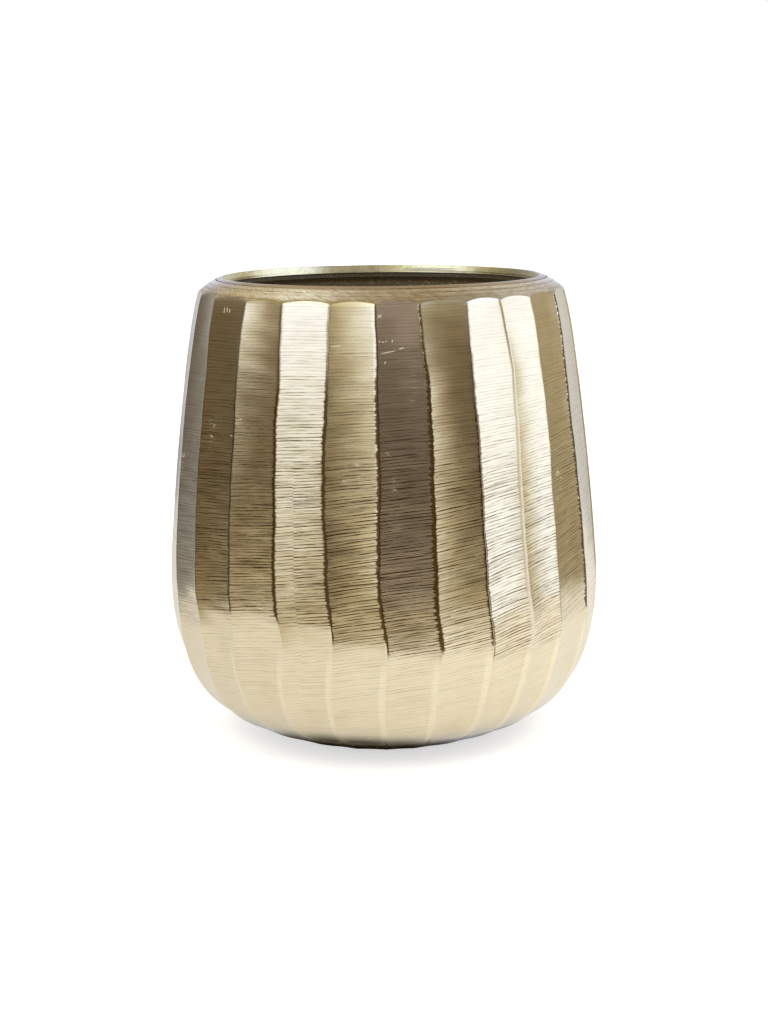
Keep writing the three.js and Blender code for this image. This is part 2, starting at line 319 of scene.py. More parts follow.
# Rows from the foot's edge up the fluted face, over the chamfer, down the inside, across the floor
# to its hole, and out along the underside, which meets the first row
def makeWall(v):
    columns = v["flutes"] * len(shareSteps)
    length, radius, height, inner, total = wallOutline(v)
    angles = ridgeAngles(v)
    hand = {
        "step": chance.uniform(0.5, 1.5, v["flutes"]),
        "join": v["strokeJoin"] + chance.uniform(-6, 8, v["flutes"]),
        "phase": chance.uniform(0, 2 * math.pi, (v["flutes"], 3)),
    }
    hand["shade"] = chance.uniform(0.6, 1, v["flutes"])
    hand["bite"] = chance.uniform(0.7, 1.1, v["flutes"])
    hand["topBite"] = np.ones(v["flutes"])
    hand["top"] = np.where(np.isin(np.arange(v["flutes"]), v["fullRidges"]), 0.8, 0.4)   # of the shade
    chosen = {"join": frontJoins, "shade": frontShades, "bite": frontBites, "topBite": topBites}
    for part, amounts in chosen.items():
        for flute, amount in amounts.items():
            hand[part][flute] = amount

    def faceAt(along):
        at = np.interp(along, length, radius), np.interp(along, length, height)
        return flutedFace(v, angles, hand, *at)

    top = np.full((1, columns), total)   # where each column meets the chamfer
    for _ in range(6):
        edge = faceAt(top)[0]
        edgeRadius = np.hypot(edge[:, 0], edge[:, 1])
        top[0] += chamferHeight(v, edgeRadius) - edge[:, 2]
    along = np.linspace(0, total, outerRows)[:, None] * np.ones(columns)
    along += np.clip((along - 200) / (total - 200), 0, 1) * (top - 0.5 - total)
    outer = faceAt(along)
    side = edge[:, :2] / edgeRadius[:, None]
    inward = v["seatRadius"] - edgeRadius
    reach = [edgeRadius - 0.12] + [edgeRadius + inward * share for share in (0.04, 0.2, 0.4, 0.6, 0.8, 0.96)]
    chamfer = np.stack([np.column_stack([side * r[:, None], chamferHeight(v, r)]) for r in reach])
    chamfer[0, :, 2] -= 0.1              # the arch edge is eased

    seatTop = float(chamferHeight(v, v["seatRadius"]))
    seat = roundedProfile([
        (v["seatRadius"] + 2, seatTop - 1.2, 0), (v["seatRadius"], seatTop, 0.25),
        (v["seatRadius"], v["seatHeight"], 0.2), (v["ledgeRadius"], v["seatHeight"], 0.3),
        (v["ledgeRadius"], v["ledgeUnder"], 0.3), (*inner[-1], 1), (*inner[-40], 0),
    ], 2)[1:-1]
    side = inner[inner[:, 1] > v["floorTop"] + 1][::-1][40::44]
    floor = roundedProfile([
        (*side[-1], 0), (side[-1, 0] - 6, v["floorTop"], 3), (v["plateSeat"], v["floorTop"], 0.4),
        (v["plateSeat"], v["plateLedge"], 0.3), (v["floorHole"], v["plateLedge"], 0.3),
        (v["floorHole"], v["footHeight"], 0.4), (v["footRadius"], v["footHeight"], 0),
    ], 2)[1:-1]
    turn = np.arctan2(edge[:, 0], -edge[:, 1])
    inside = turnedRings(np.concatenate([seat, side, floor]), turn)

    share = np.linspace(0, 1, 22)[1:-1, None, None]
    under = inside[-1] + (outer[0] - inside[-1]) * share
    quarter = np.radians(45 + 90 * np.arange(4))
    centres = v["padCircle"] * np.stack([np.sin(quarter), -np.cos(quarter)], axis=1)
    gap = np.linalg.norm(under[:, :, None, :2] - centres, axis=3).min(axis=2)
    under[:, :, 2] = v["footHeight"] + v["padRecess"] * (1 - smoothStep((gap - v["recessRadius"]) / 0.8))
    rings = np.concatenate([outer, chamfer, inside, under])

    # fluteMap: how far round in flutes, as a share of all, and the length along the outline as a
    # share of mapLength. markMap: how hard the file cut, and its stroke's number, over mapStrokes
    flute = np.repeat(np.arange(v["flutes"]), len(shareSteps))
    shares = [np.tile(shareSteps, v["flutes"]), np.tile(np.append(shareSteps[1:], 1), v["flutes"])]
    lift = outer[:, :, 2] - hand["join"][flute]      # above the line where the two strokes meet
    strength = 0.22 + 0.78 * smoothStep((lift + 5) / 9)
    strength *= np.interp(along, [0, 60, 100, 230, 270, 305, 341], [0.2, 0.5, 1, 1, 0.85, 0.7, 0.6])
    column = np.tile(np.arange(len(shareSteps)), v["flutes"])
    seamSide = np.where(flute == v["seamFlute"], np.where(column < v["seamColumn"], -1, 1), 0)
    seamSide = seamSide * smoothStep((260 - along) / 60)
    strength *= hand["bite"][flute] * (1 + 0.12 * seamSide)
    strength *= 1 + (hand["topBite"][flute] - 1) * smoothStep((along - 170) / 120)
    shade = np.zeros((2, *rings.shape[:2]))          # on the left of each ridge and on its right
    faded = (1 - hand["top"][flute]) * smoothStep((along - 270) / 60)
    shade[:, :outerRows] = smoothStep((lift + 2) / 6) * (1 - faded)
    shade[0, :outerRows] *= hand["shade"][flute]
    shade[1, :outerRows] *= hand["shade"][flute - 1]
    slant = v["markSlant"] + chance.normal(0, 1.5, v["flutes"])
    slope = np.tan(np.radians(slant[flute] * (1 - 0.8 * smoothStep((along - 150) / 190))))
    offset = chance.uniform(0, 25, v["flutes"])[flute]
    width = 2 * math.pi * np.interp(along, length, radius) / v["flutes"]
    sides = {"fluteMap": [], "markMap": []}
    for share in shares:
        rows = np.zeros((len(rings) + 1, columns, 2))
        rows[:, :, 0] = (flute + share) / v["flutes"]
        rows[:outerRows, :, 1] = along / v["mapLength"]
        rows[outerRows:, :, 1] = 1
        sides["fluteMap"].append(rows)
        marks = np.zeros_like(rows)
        marks[:outerRows, :, 0] = strength
        stroke = (along - slope * (share - 0.5) * width) / v["markPitch"] + offset
        stroke += 0.6 * np.sin(along / 23 + flute) + 0.25 * seamSide
        marks[:outerRows, :, 1] = stroke / v["mapStrokes"]
        marks[outerRows:, :, 1] = marks[outerRows - 1, :, 1]
        sides["markMap"].append(marks)

    slots = np.full(len(rings), 2)
    slots[:outerRows] = 0
    slots[outerRows:outerRows + len(chamfer) + 2] = 1
    slots[-len(under) - 4:] = 3
    wall = closedMesh("flutedWall", rings, loop=True, maps=sides, slots=slots)
    for layerName, values in zip(("stepShade", "afterShade"), shade):
        layer = wall.data.attributes.new(layerName, "FLOAT", "POINT")
        layer.data.foreach_set("value", values.reshape(-1).astype(np.float32))
    return wall


print("wall")
flutedWall = makeWall(wallValues)


# The turned ring in the mouth. Its profile loops round with a slight hand-eased unevenness:
# the inner radius and the top sink by a sum of three sine waves of the angle
ringValues = {
    "inner": 108.8, "throat": 107.3, "outer": 113.1, "lip": 110, "under": 312, "top": 317.5,
    "uneven": 0.06, "columns": 312,
}


def makeRing(v):
    seam = float(chamferHeight(wallValues, v["outer"]))
    profile = roundedProfile([
        (v["throat"], v["under"], 0.4), (v["outer"], v["under"], 0.3), (v["outer"], seam, 0.25),
        (v["lip"], v["top"], 0.3), (v["inner"] + 0.2, v["top"], 0.15), (v["inner"], v["top"] - 0.2, 0.1),
    ], 4)
    angle = evenAngles(v["columns"])
    rings = turnedRings(profile, angle)
    wave = sum(np.sin(n * angle + n) for n in (5, 11, 23)) - 3
    rings[:, :, 2] += v["uneven"] / 3 * wave * smoothStep((profile[:, 1:2] - v["top"] + 2) / 2)
    return closedMesh("turnedMouthRing", rings, loop=True)


plateValues = {"radius": 52.3, "low": 4.5, "high": 8.5, "rounding": 0.4, "columns": 156, "fuzz": 0}
padValues = {"radius": 7.5, "low": 0, "high": 3, "rounding": 0.5, "columns": 72, "fuzz": 0.012}


# The floor plate and the felt pads: discs whose profile runs from pole to pole
def makeDisc(name, centre, v):
    radius, low, high, rounding = v["radius"], v["low"], v["high"], v["rounding"]
    profile = roundedProfile([
        (radius * 0.5, low, 0), (radius * 0.8, low, 0), (radius, low, rounding),
        (radius, high, rounding), (radius * 0.8, high, 0), (radius * 0.5, high, 0),
    ], 3)
    angle = evenAngles(v["columns"])
    rings = turnedRings(profile, angle)
    rings[:, :, :2] *= 1 - v["fuzz"] * chance.uniform(0, 1, (*rings.shape[:2], 1))
    rings += np.array([*centre, 0])
    return closedMesh(name, rings, poles=[(*centre, low), (*centre, high)])


# The sealant over the plate's joint: a half-round bead whose width and height vary as it was
# pressed out by hand, by sums of sine waves of the angle
sealValues = {"middle": 52.45, "low": 8.8, "width": 4.6, "height": 1.45, "columns": 208}


def makeSeal(v):
    angle = evenAngles(v["columns"])
    turn = np.linspace(0, math.pi, 13)[:, None]
    wide = v["width"] / 2 * (1 + 0.03 * np.sin(7 * angle) + 0.03 * np.sin(17 * angle + 1))
    tall = v["height"] * (1 + 0.04 * np.sin(9 * angle + 2) + 0.03 * np.sin(29 * angle))
    radius = v["middle"] + wide * np.cos(turn)
    height = v["low"] + tall * np.sin(turn)
    rings = np.stack([radius * np.sin(angle), -radius * np.cos(angle), height], axis=2)
    return closedMesh("sealantBead", rings, loop=True)


print("ring, floor plate, seal and pads")
mouthRing = makeRing(ringValues)
floorPlate = makeDisc("castFloorPlate", (0, 0), plateValues)
sealBead = makeSeal(sealValues)
feltPads = []
for index in range(4):
    turn = math.radians(45 + 90 * index)
    centre = wallValues["padCircle"] * math.sin(turn), -wallValues["padCircle"] * math.cos(turn)
    feltPads.append(makeDisc(f"feltPad{index + 1}", centre, padValues))


# Satin gold over cast aluminium, cut with a coarse file: a brushed metal whose file marks catch
# light and dark, with brown patina in the grooves. The dark line along the steps beside the ridges is
# partly patina and partly painted shade, and painted highlights and a painted shade on the foot are added
goldValues = {
    # groove is the patina in the file marks; edge is the steps' dark line, partly patina and partly painted
    # shade; foot is a painted shade where the foot turns under
    "pale": "#efe2c2", "deep": "#e0cea8", "groove": "#553a1a", "edge": "#57401d", "foot": "#3b2b16",
    "scratches": [           # rightward and up in mm, slope in degrees, half length
        (-1.2, 300.4, 40, 1.9), (-1.2, 300.4, -42, 1.6), (-1.2, 284.8, 20, 0.8), (0.8, 284.6, -20, 0.8),
        (2.6, 284.9, 10, 0.7), (6.6, 285, 80, 1.2), (12.2, 280.5, 15, 2), (3.8, 278.3, 9, 5.5),
        (2, 272, 60, 1), (-28.5, 282, 3, 4), (-101.8, 300.5, 80, 2.2), (-99.8, 301, 84, 2),
        (-98, 300.5, 82, 1.6), (-97.3, 222, 0, 1), (-91, 233, 20, 0.8), (114.5, 176, 0, 0.7),
        (116.2, 182, 30, 0.8), (117, 189, 0, 0.7),
    ],
    # of the two pale colours here, the first serves real wear and a painted highlight on one ridge, the
    # second is a painted highlight beside the ridges below the join
    "scratchShare": 0.75, "paleWearAndHighlight": "#f3e9cf", "wear": 0.6, "paintedRidgeHighlight": "#fbeecb", "roughness": 0.2,
    "markDepth": 0.03, "fineDepth": 0.012, "streakDepth": 0.02,   # millimetres
    "grooveColour": 1.3, "fineColour": 0.55, "streakColour": 0.35, "lineColour": 0.97,
}


def goldMaterial(v):
    material, add = newMaterial("satinGoldOnCastAluminium")
    mapAround, mapAlong, _ = add("SeparateXYZ", add("UVMap", uv_map="fluteMap")).outputs
    strength, mapStroke, _ = add("SeparateXYZ", add("UVMap", uv_map="markMap")).outputs
    turns = add("Math MULTIPLY", mapAround, wallValues["flutes"])
    share = add("Math FRACT", turns)
    flute = add("Math FLOOR", turns)
    across = add("Math MULTIPLY", share, wallValues["fluteWidth"])
    along = add("Math MULTIPLY", mapAlong, wallValues["mapLength"])
    spot = add("CombineXYZ", across, along)
    apart = add("Math MULTIPLY", flute, 31.7)
    stroke = add("Math MULTIPLY", mapStroke, wallValues["mapStrokes"])

    # every stroke of the file is a straight line of its own: it sits off its even place and leans a
    # little, has its own bite, and its width comes and goes. Finer strokes lie between the coarse ones
    wander = add("TexNoise 4D", add("VectorMath MULTIPLY", spot, (1 / 60, 1 / 20, 1)), apart, 1)
    bent = add("Math MULTIPLY_ADD", wander, 1.4, stroke)
    fromMiddle = add("Math SUBTRACT", share, 0.5)
    fadeShare = add("Math MULTIPLY", across, 1 / 9)
    cuts = []
    for closeness, narrow, wide, weakest in ((1, 0.13, 0.32, 0.3), (2.3, 0.2, 0.45, 0.1)):
        number = add("Math MULTIPLY", bent, closeness)
        nearest = add("Math ROUND", number)
        own = add("TexWhiteNoise 3D", add("CombineXYZ", nearest, apart, closeness))
        ownShift, ownLean, ownBite = add("SeparateXYZ", own.outputs["Color"]).outputs
        moved = add("Math MULTIPLY_ADD", ownShift, 0.3, -0.15)
        leaning = add("Math MULTIPLY_ADD", ownLean, 0.5, -0.25)
        middle = add("Math MULTIPLY_ADD", leaning, fromMiddle, moved)
        offMiddle = add("Math SUBTRACT", add("Math SUBTRACT", number, nearest), middle)
        away = add("Math ABSOLUTE", offMiddle)
        fadeSpot = add("CombineXYZ", fadeShare, add("Math MULTIPLY", nearest, 3.7), apart)
        fadeNoise = add("TexNoise", fadeSpot, 1, 3)
        fade = add("MapRange", fadeNoise, 0.34, 0.55, 0.4, 1)
        halfWidth = add("MapRange", fadeNoise, 0.3, 0.7, narrow, wide)
        groove = add("MapRange SMOOTHSTEP", away, 0, halfWidth, 1, 0)
        bite = add("MapRange", ownBite, 0, 1, weakest, 1)
        faded = add("Math MULTIPLY", add("Math MULTIPLY", groove, bite), fade)
        cuts.append(add("Math MULTIPLY", faded, strength))
    mark, fineMark = cuts

    # fine scratches of the file's teeth, drawn 1 mm apart because the real ones are too fine to show
    teethSpot = add("CombineXYZ", across, bent, apart)
    streak = add("TexNoise", add("VectorMath MULTIPLY", teethSpot, (1 / 30, 2.4, 1)), 1, 3)
    fineLine = add("MapRange SMOOTHSTEP", streak, 0.48, 0.62)
    patch = add("TexNoise 4D", add("VectorMath MULTIPLY", spot, (1 / 16, 1 / 28, 1)), apart, 1, 3)

    # the step beside each ridge: a dark brown line with a ragged side, partly patina and partly painted
    # shade where the step faces away from the light
    shade = add("Attribute", attribute_name="stepShade").outputs["Fac"]
    toRidge = add("Math MULTIPLY_ADD", share, -wallValues["fluteWidth"], wallValues["fluteWidth"])
    ragSpot = add("Math MULTIPLY", along, 0.5)
    rag = add("TexNoise 2D", add("CombineXYZ", ragSpot, apart), 1, 3)
    ragWidth = add("MapRange", rag, 0.3, 0.7, 0.8, 2.8)
    ragShaded = add("Math MULTIPLY", ragWidth, shade)
    within = add("Math DIVIDE", toRidge, add("Math MULTIPLY_ADD", mark, 1.2, ragShaded))
    line = add("MapRange SMOOTHSTEP", within, 0.45, 1.2, 1, 0)
    lineLeft = add("Math MULTIPLY", line, shade)
    after = add("Attribute", attribute_name="afterShade").outputs["Fac"]
    afterWidth = add("Math MULTIPLY", ragWidth, 0.025)
    afterLine = add("MapRange SMOOTHSTEP", share, 0.008, afterWidth, 1, 0)
    lineRight = add("Math MULTIPLY", afterLine, after)
    lineSeen = add("Math MAXIMUM", lineLeft, lineRight, use_clamp=True)

    colour = add("Mix RGBA", patch, v["deep"], v["pale"])
    # towards the mouth the marks lose their patina
    patina = add("MapRange", along, 230, 330, 1, 0.4)
    streakShare = add("Math MULTIPLY", add("Math MULTIPLY", fineLine, strength), v["streakColour"])
    fineShare = add("Math MULTIPLY_ADD", fineMark, v["fineColour"], streakShare)
    markShare = add("Math MULTIPLY_ADD", mark, v["grooveColour"], fineShare)
    grooveShare = add("Math MULTIPLY", markShare, patina, use_clamp=True)
    colourGroove = add("Mix RGBA", grooveShare, colour, v["groove"])
    # the step's line, partly patina and partly painted shade, goes over the colour
    lineShare = add("Math MULTIPLY", lineSeen, v["lineColour"])
    colourLine = add("Mix RGBA", lineShare, colourGroove, v["edge"])
    # below the join a painted highlight makes the gold paler beside each ridge
    ridgeHighlightSide = add("MapRange SMOOTHSTEP", share, 0.84, 0.92, 0, 0.4)
    paintedRidgeHighlight = add("Math MULTIPLY", ridgeHighlightSide, add("MapRange SMOOTHSTEP", along, 108, 128, 1, 0))
    colourRidgeHighlight = add("Mix RGBA", paintedRidgeHighlight, colourLine, v["paintedRidgeHighlight"])
    # painted shade: the turned-under foot is darkened to brown-black where it faces its own shadow on the
    # floor, a little higher at the ridges
    centredSize = add("Math ABSOLUTE", add("Math MULTIPLY_ADD", share, 2, -1))
    raised = add("Math MULTIPLY_ADD", add("Math POWER", centredSize, 9), -8, along)
    foot = add("MapRange SMOOTHSTEP", raised, 32, 44, 0.93, 0)
    colourFootShade = add("Mix RGBA", foot, colourRidgeHighlight, v["foot"])
    # the scratches and specks that the photograph shows, each a short stroke seen from the front
    spotObject = add("VectorMath SCALE", add("TexCoord").outputs["Object"], 1 / mm)
    objectParts = add("SeparateXYZ", spotObject)
    scratched = add("Value")
    scratched.outputs[0].default_value = 0
    for rightward, height, slope, half in v["scratches"]:
        fromStroke = add("VectorMath SUBTRACT", spotObject, (rightward, 0, height))
        strokeSpot = add("VectorRotate Y_AXIS", {"Angle": math.radians(slope), "Vector": fromStroke})
        strokeParts = add("SeparateXYZ", add("VectorMath ABSOLUTE", strokeSpot))
        lengthwise = add("MapRange", strokeParts, half, 0.5 * half)
        sideways = add("MapRange", strokeParts.outputs["Z"], 0.5, 0.15)
        scratched = add("Math MAXIMUM", scratched, add("Math MULTIPLY", lengthwise, sideways))
    inFront = add("Math LESS_THAN", objectParts.outputs["Y"], 0)
    scratchSeen = add("Math MULTIPLY", add("Math MULTIPLY", scratched, inFront), v["scratchShare"])
    # a painted highlight brightens one ridge, where the shade of its step is negative
    highlightAmount = add("Math MULTIPLY", shade, -1, use_clamp=True)
    highlightLeft = add("Math MULTIPLY", highlightAmount, add("MapRange", toRidge, 2.6, 1))
    highlightAfterAmount = add("Math MULTIPLY", after, -1, use_clamp=True)
    highlightRight = add("Math MULTIPLY", highlightAfterAmount, add("MapRange", share, 0.06, 0.02))
    scratchesAndHighlight = add("Math MAXIMUM", scratchSeen, add("Math MAXIMUM", highlightLeft, highlightRight))
    # a few pale nicks half a millimetre wide, and hair scratches in places
    nicks = add("TexVoronoi", add("CombineXYZ", across, along, apart), 1 / 9)
    nickSize = add("MapRange", add("SeparateXYZ", nicks.outputs["Color"]), 0.6, 1, 0.001, 0.07)
    nick = add("MapRange", nicks, 0, nickSize, 1.5, 0)
    hairs = add("TexNoise 4D", add("VectorMath MULTIPLY", spot, (1 / 22, 1 / 4, 1)), apart, 1, 1)
    hairSize = add("Math ABSOLUTE", add("Math SUBTRACT", hairs, 0.5))
    hair = add("MapRange", hairSize, 0.004, 0.014, 1, 0)
    hairSeen = add("Math MULTIPLY", hair, add("MapRange", patch, 0.62, 0.7))
    wear = add("Math MAXIMUM", nick, hairSeen, use_clamp=True)
    # real wear and the painted highlight share the same pale colour
    wearAndHighlight = add("Math MAXIMUM", add("Math MULTIPLY", wear, v["wear"]), scratchesAndHighlight)
    colourWearAndHighlight = add("Mix RGBA", wearAndHighlight, colourFootShade, v["paleWearAndHighlight"])
    bare = add("Math MULTIPLY_ADD", add("Math MAXIMUM", foot, wearAndHighlight), -0.9, 1)
    roughPatch = add("MapRange", patch, 0, 1, v["roughness"] - 0.05, v["roughness"] + 0.05)
    roughMark = add("Math MULTIPLY_ADD", mark, 0.05, roughPatch)
    rough = add("Math MULTIPLY_ADD", lineShare, 0.2, roughMark)

    # heights in millimetres
    markHeight = add("Math MULTIPLY", mark, -v["markDepth"])
    fineHeight = add("Math MULTIPLY_ADD", fineMark, -v["fineDepth"], markHeight)
    height = add("Math MULTIPLY_ADD", streak, -v["streakDepth"], fineHeight)
    bump = add("Bump", {"Strength": 1, "Distance": mm, "Height": height})
    add("OutputMaterial", add("BsdfPrincipled", colourWearAndHighlight, bare, rough, {"Normal": bump}))
    return material


# The same gold where it was turned on the lathe: fine rings 0.8 mm apart, small casting pits, and
# a browner tone because the cut opened the casting's pores
turnedValues = {
    "pale": "#eddcc0", "deep": "#a78a65", "pit": "#5c452a", "line": "#6e5638", "roughness": 0.33,
    "crest": 0, "crestColour": "#b79c74", "grainDepth": 0.05, "pitSize": 1.7,
    "ringPitch": 0.8, "grainsAround": 26, "dressAround": 120, "dressTwist": -1.1 / 114,
    "darkRings": ((113.5, 0.45, 0.55), (117.5, 0.35, 0.1)),   # radius, half width, least darkness
}
rimChanges = {"pale": "#f8efc6", "deep": "#d2c490", "crest": 1}
footChanges = {"pale": "#c9b98f", "deep": "#a18c63"}


def turnedMaterial(name, v):
    material, add = newMaterial(name)
    spot = add("VectorMath SCALE", add("TexCoord").outputs["Object"], 1 / mm)
    flat = add("VectorMath MULTIPLY", spot, (1, 1, 0))
    radius = add("VectorMath LENGTH", flat)
    side = add("VectorMath NORMALIZE", flat)
    sides = add("VectorMath SCALE", side, v["grainsAround"])
    level = add("Math SUBTRACT", radius, add("SeparateXYZ", spot).outputs["Z"])
    lift = add("CombineXYZ", 0, 0, add("Math MULTIPLY", level, 1 / v["ringPitch"]))
    grain = add("TexNoise", add("VectorMath ADD", sides, lift), 1, 4, 0.65)
    mottle = add("TexNoise", spot, 1 / 6, 4)
    # slanting streaks where the cut was dressed by hand, 0.9 mm wide
    twist = add("Math MULTIPLY", level, v["dressTwist"])
    twisted = add("VectorRotate Z_AXIS", {"Vector": side, "Angle": twist})
    slanted = add("VectorMath SCALE", twisted, v["dressAround"])
    dressSpot = add("VectorMath ADD", slanted, add("VectorMath SCALE", lift, 0.16))
    dressing = add("TexNoise", dressSpot, 1)
    # a few deeper turning lines that come and go
    lineSpot = add("VectorMath ADD", add("VectorMath SCALE", side, 1.5), lift)
    line = add("MapRange SMOOTHSTEP", add("TexNoise", lineSpot, 0.8), 0.56, 0.66)
    pit = add("MapRange SMOOTHSTEP", add("TexVoronoi", spot, 1 / v["pitSize"]), 0.1, 0.22, 1, 0)
    pitSeen = add("Math MULTIPLY", pit, add("MapRange", mottle, 0.5, 0.6))
    grainTone = add("Math MULTIPLY_ADD", grain, 1.6, add("Math MULTIPLY_ADD", dressing, 1.6, -1.5))
    tone = add("Math MULTIPLY_ADD", mottle, 1.1, grainTone, use_clamp=True)
    colour = add("Mix RGBA", tone, v["deep"], v["pale"])
    # the narrow crest of the mouth is tinted to the chamfer's brown
    crest = add("MapRange SMOOTHSTEP", radius, 108.8, 109.3, 0, v["crest"])
    crestTone = add("Mix RGBA", crest, colour, v["crestColour"])
    lineShare = add("Math MULTIPLY", line, 0.6)
    darkShare = pitSeen
    # grime in the ring's seam and in one broken line outside it
    for radiusAt, halfWidth, least in v["darkRings"]:
        offSize = add("Math ABSOLUTE", add("Math SUBTRACT", radius, radiusAt))
        ringLine = add("MapRange SMOOTHSTEP", offSize, 0, 2 * halfWidth, 1, 0)
        ringSeen = add("Math MULTIPLY", ringLine, add("MapRange", mottle, 0.4, 0.6, least, 1))
        darkShare = add("Math MAXIMUM", darkShare, ringSeen)
    colourLine = add("Mix RGBA", lineShare, crestTone, v["line"])
    colourPit = add("Mix RGBA", darkShare, colourLine, v["pit"])
    rough = add("MapRange", mottle, 0, 1, v["roughness"] - 0.08, v["roughness"] + 0.1)
    grainHeight = add("Math MULTIPLY", grain, v["grainDepth"])
    streakHeight = add("Math MULTIPLY_ADD", dressing, v["grainDepth"], grainHeight)
    bump = add("Bump", {"Strength": 1, "Distance": mm, "Height": streakHeight})
    add("OutputMaterial", add("BsdfPrincipled", colourPit, 1, rough, {"Normal": bump}))
    return material


# Dark lacquer over the raw sand casting inside: olive-black, uneven at the size of the sand
# lumps, 1.5 to 4 mm, with rust-brown specks
lacquerValues = {
    "dark": "#857a5f", "light": "#ad9c7a", "speck": "#e0c592", "underRingShade": "#2c281c", "roughness": 0.5,
    "lumpSize": 3, "speckSize": 1.7,
}


def lacquerMaterial(v):
    material, add = newMaterial("darkLacquerOnSandCasting")
    spot = add("VectorMath SCALE", add("TexCoord").outputs["Object"], 1 / mm)
    lumps = add("TexNoise", spot, 1 / v["lumpSize"], 5, 0.7)
    speck = add("MapRange", add("TexNoise", spot, 1 / v["speckSize"]), 0.57, 0.68)
    colourSpeck = add("Mix RGBA", speck, add("Mix RGBA", lumps, v["dark"], v["light"]), v["speck"])
    # painted shade: the ledge under the mouth ring, in the ring's shadow, is darkened
    underRingShade = add("MapRange SMOOTHSTEP", add("SeparateXYZ", spot).outputs["Z"], 304, 309, 0, 0.7)
    colourUnderRingShade = add("Mix RGBA", underRingShade, colourSpeck, v["underRingShade"])
    rough = add("MapRange", lumps, 0, 1, v["roughness"] - 0.1, v["roughness"] + 0.15)
    bump = add("Bump", {"Strength": 0.8, "Distance": 0.3 * mm, "Height": lumps})
    add("OutputMaterial", add("BsdfPrincipled", colourUnderRingShade, 0.1, rough, {"Normal": bump}))
    return material


# Cured sealant: smooth, slightly waxy, with finger-smoothed waves about 5 mm long
sealantValues = {"light": "#9f9c92", "dark": "#85827a", "roughness": 0.42, "waveSize": 5}


def sealantMaterial(v):
    material, add = newMaterial("curedSealant")
    waves = add("TexNoise", add("TexCoord").outputs["Object"], 1 / (v["waveSize"] * mm))
    colour = add("Mix RGBA", waves, v["dark"], v["light"])
    bump = add("Bump", {"Strength": 0.5, "Distance": 0.3 * mm, "Height": waves})
    add("OutputMaterial", add("BsdfPrincipled", colour, 0, v["roughness"], {"Normal": bump}))
    return material


# Pressed wool felt: matted fibres, drawn 0.4 mm thick because real ones are too fine to show
feltValues = {"dark": "#2b2825", "light": "#4b4640", "fibreSize": 0.8, "distortion": 1.5}


def feltMaterial(v):
    material, add = newMaterial("pressedWoolFelt")
    fibreScale = 1 / (v["fibreSize"] * mm)
    place = add("TexCoord").outputs["Object"]
    fibres = add("TexNoise", place, fibreScale, 4, {"Distortion": v["distortion"]})
    colour = add("Mix RGBA", fibres, v["dark"], v["light"])
    bump = add("Bump", {"Strength": 1, "Distance": 0.3 * mm, "Height": fibres})
    wool = add("BsdfPrincipled", colour, 0, 0.95, {"Sheen Weight": 0.3, "Normal": bump})
    add("OutputMaterial", wool)
    return material


print("materials")
satinGold = goldMaterial(goldValues)
turnedChamfer = turnedMaterial("turnedGoldChamfer", turnedValues)
turnedRim = turnedMaterial("turnedGoldRim", {**turnedValues, **rimChanges})
machinedFoot = turnedMaterial("turnedAluminiumFoot", {**turnedValues, **footChanges})
darkLacquer = lacquerMaterial(lacquerValues)
sealant = sealantMaterial(sealantValues)
felt = feltMaterial(feltValues)
dress(flutedWall, [satinGold, turnedChamfer, darkLacquer, machinedFoot], "fluted_wall")
dress(mouthRing, [turnedRim], "mouth_ring")
dress(floorPlate, [darkLacquer], "floor_plate")
dress(sealBead, [sealant], "floor_seal")
for index, pad in enumerate(feltPads):
    dress(pad, [felt], f"foot_pad_{index + 1}")


# The studio: a pale floor, a white surround for the camera, and for the metal to mirror a dim
# room with a pale backdrop and two soft boxes. The room is out of the camera's sight
studioValues = {
    "floor": "#e6e4e0", "floorPale": "#f0efec", "underFoot": "#2a241c",
    "floorGlow": 0.5, "floorGlowColour": "#dbe3f2", "floorHalf": 8, "floorGrain": 40, "worldLight": 0.8,
    "tableMiddle": (0.035, 0.35), "tableHalf": (0.495, 0.7),   # what the metal sees of the table
    "footShade": (-0.012, -0.045),
    "roomLevel": 0.1, "leftLevel": 0.18, "sideLevel": 0.28, "backdropLevel": 0.53, "backdropPeak": 1.3,
    "ceilingLevel": 0.24,
    "spots": [        # direction, cosines where it starts and is full, level
        ((-0.31, 0.4, 0.863), 0.965, 0.995, 1), ((-0.4, 0.62, 0.675), 0.95, 0.985, 0.4),
        ((0.38, 0.68, 0.62), 0.935, 0.975, 0.57), ((0.13, -0.94, 0.31), 0.987, 0.9985, 0.27),
    ],
    "roomRadius": 9000, "roomStrength": 2,
    "lightSteps": [          # what the room's levels look like, from dim and warm to bright and cool
        (0.0, "#2b2216"), (0.05, "#3a2f20"), (0.09, "#4c4231"), (0.14, "#5e5542"), (0.22, "#746c57"),
        (0.36, "#918a75"), (0.55, "#aeab9e"), (0.7, "#bcc0c3"), (0.85, "#c9d2e0"), (1.0, "#d8e4ff"),
    ],
    "tints": [               # for the white, front, back, left, warm and cool parts of the room
        (0.95, 0.945, 0.98), (0.96, 1, 1.65), (0.94, 1.06, 1.55), (0.92, 1.08, 1.8),
        (1.24, 1.27, 1.12), (0.93, 1.03, 1.25),
    ],
    "boxes": {
        "softBoxLeft": {"azimuth": -40, "middle": 1.05, "width": 1.45, "tall": 1.7},
        "softBoxRight": {"azimuth": 76, "middle": 0.95, "width": 1.55, "tall": 1.8},
    },
    "boxDistance": 1.5, "boxRadiance": 0.7,
}


